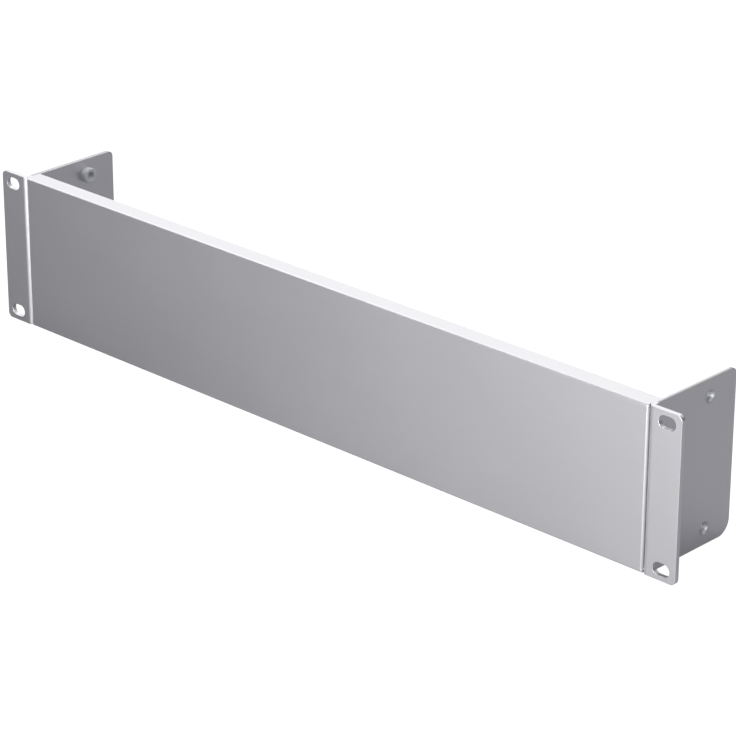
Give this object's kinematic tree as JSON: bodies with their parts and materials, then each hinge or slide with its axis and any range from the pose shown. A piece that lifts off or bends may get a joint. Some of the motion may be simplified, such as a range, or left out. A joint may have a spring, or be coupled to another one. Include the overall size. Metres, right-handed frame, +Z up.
{
  "type": "rack blanking panel",
  "caption": "Folded sheet-metal filler panel for a 19 inch rack, with slotted mounting ears and side plates that run back and carry press nuts.",
  "frame": {"origin": "middle of the bounding box's bottom face, on the surface that the panel stands on", "axes": "+X across the rack to the right as seen from in front of the rack, +Y from the front to the back, +Z up"},
  "size_m": [0.4826, 0.064, 0.0881],
  "materials": {
    "tray_aluminium": "satin, clear anodised",
    "bracket_aluminium": "satin, clear anodised",
    "nut_steel": "bright zinc plated",
    "rivet_aluminium": "plain, bright"
  },
  "bodies": {
    "root": {"front_tray": "tray_aluminium", "bracket_right": "bracket_aluminium", "bracket_left": "bracket_aluminium", "press_nuts": "nut_steel", "blind_rivets": "rivet_aluminium"}
  },
  "joints": []
}
